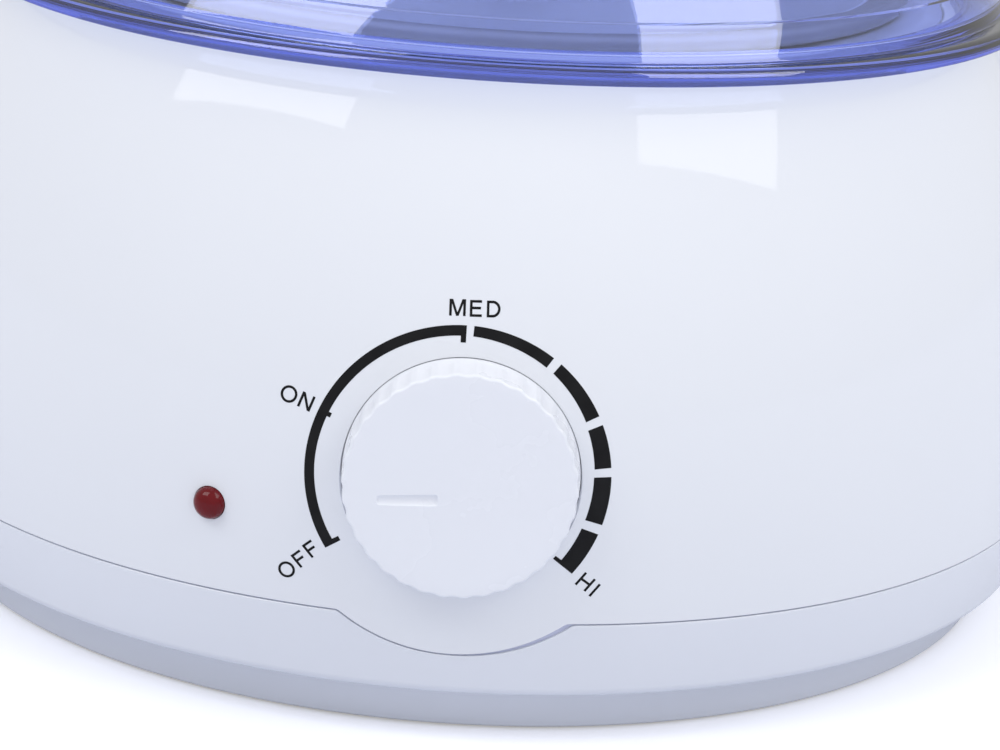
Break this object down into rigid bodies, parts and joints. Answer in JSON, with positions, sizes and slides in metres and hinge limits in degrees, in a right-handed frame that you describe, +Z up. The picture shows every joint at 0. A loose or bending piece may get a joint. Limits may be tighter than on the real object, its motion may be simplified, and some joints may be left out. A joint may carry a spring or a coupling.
{
  "type": "wax warmer",
  "caption": "Round electric wax warmer: white housing with a fluted heat dial, red pilot lamp, lift-out pot with wire bail and a see-through domed lid.",
  "frame": {"origin": "centre of the rubber foot ring where it stands on the table", "axes": "+Z up, the dial faces -Y, +X is to the right of a user who faces the dial"},
  "size_m": [0.1792, 0.1857, 0.1391],
  "materials": {
    "housing_plastic": "satin moulded white",
    "base_plastic": "satin moulded cool white",
    "knob_plastic": "satin moulded white",
    "lid_plastic": "see-through blue violet",
    "lid_knob_plastic": "see-through blue violet, thick",
    "lens_plastic": "glossy red",
    "pad_rubber": "matt grey",
    "gland_rubber": "matt white",
    "steel": "zinc plated",
    "polished_steel": "polished wire",
    "spun_aluminium": "spun satin",
    "band_steel": "heat tinted",
    "contact_brass": "plain",
    "ceramic": "white fired ceramic",
    "block_plastic": "matt white",
    "neon_glass": "clear glass",
    "wire_brown": "silicone sleeve",
    "wire_red": "silicone sleeve",
    "wire_blue": "silicone sleeve",
    "wire_grey": "silicone sleeve"
  },
  "bodies": {
    "housing": {"upper_housing": "housing_plastic", "lower_housing": "base_plastic", "foot_pad_ring": "pad_rubber", "housing_screws": "steel", "heating_well": "spun_aluminium", "well_brackets": "steel", "well_screws": "steel", "heater_band": "band_steel", "band_clamp_screw": "steel", "thermal_fuse": "steel", "fuse_clip": "steel", "thermostat_frame": "steel", "thermostat_screws": "steel", "ceramic_washers": "ceramic", "contact_springs": "contact_brass", "bimetal_strip": "band_steel", "stack_rivet": "steel", "indicator_lens": "lens_plastic", "lamp_sleeve": "block_plastic", "neon_lamp": "neon_glass", "cord_gland": "gland_rubber", "terminal_block": "block_plastic", "terminal_screws": "contact_brass", "live_wire": "wire_brown", "heater_wire": "wire_red", "neutral_wire": "wire_blue", "lamp_wires": "wire_grey"},
    "dial": {"control_knob": "knob_plastic", "knob_spring_clip": "steel", "thermostat_shaft": "steel"},
    "pot": {"inner_pot": "spun_aluminium", "pot_ears": "steel", "ear_rivets": "spun_aluminium"},
    "bail": {"bail_handle": "polished_steel"},
    "lid": {"lid_shell": "lid_plastic", "lid_knob": "lid_knob_plastic", "lid_screw": "steel", "lid_washer": "steel"}
  },
  "joints": [
    {"name": "knob_turn", "type": "hinge", "parent": "housing", "child": "dial", "pos_m": [0, -0.0894, 0.0384], "axis": [0, -1, 0], "range_deg": [-227, 25.5]},
    {"name": "pot_lift", "type": "slide", "parent": "housing", "child": "pot", "axis": [0, 0, 1], "range_m": [0, 0.1]},
    {"name": "lid_lift", "type": "slide", "parent": "pot", "child": "lid", "axis": [0, 0, 1], "range_m": [0, 0.2]},
    {"name": "bail_swing", "type": "hinge", "parent": "pot", "child": "bail", "pos_m": [0, 0, 0.0948], "axis": [1, 0, 0], "range_deg": [0, 173]}
  ],
  "couplings": [
    {"joint": "bail_swing", "follows": "lid_lift", "rad_per_m": 15.09}
  ]
}
